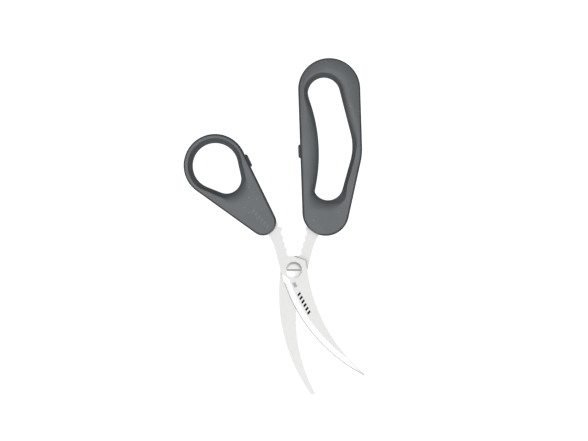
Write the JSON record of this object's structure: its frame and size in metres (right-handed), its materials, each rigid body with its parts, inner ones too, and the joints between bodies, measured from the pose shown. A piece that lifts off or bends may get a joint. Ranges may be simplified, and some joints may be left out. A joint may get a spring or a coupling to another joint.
{
  "type": "poultry shears",
  "caption": "Poultry shears with curved bevelled blades, toothed tangs, a slotted pivot screw, a long closed finger loop and a round thumb loop.",
  "frame": {"origin": "on the pivot axis, at the outer face of the round nut, in the plane that the shears lie on", "axes": "+Z along the pivot axis towards the slotted screw head, +Y from the pivot to the handles, +X towards the finger loop"},
  "size_m": [0.1358, 0.2525, 0.015],
  "materials": {
    "blade_steel": "satin ground stainless steel with a bright bevel",
    "pivot_steel": "turned and lightly polished stainless steel",
    "spring_steel": "plain spring steel",
    "handle_core": "moulded glass-filled plastic",
    "soft_grip": "soft-touch dark blue-grey plastic, faintly speckled",
    "stop_rubber": "dull dark rubber"
  },
  "bodies": {
    "finger_half": {"rear_blade": "blade_steel", "pivot_screw": "pivot_steel", "head_washer": "pivot_steel", "cone_washer": "spring_steel", "pivot_nut": "pivot_steel", "finger_core": "handle_core", "finger_grip": "soft_grip", "finger_stop": "stop_rubber"},
    "thumb_half": {"front_blade": "blade_steel", "thumb_core": "handle_core", "thumb_grip": "soft_grip", "thumb_stop": "stop_rubber"}
  },
  "joints": [
    {"name": "pivot", "type": "hinge", "parent": "finger_half", "child": "thumb_half", "pos_m": [0, 0, 0], "axis": [0, 0, 1], "range_deg": [-23.8, 36]}
  ]
}
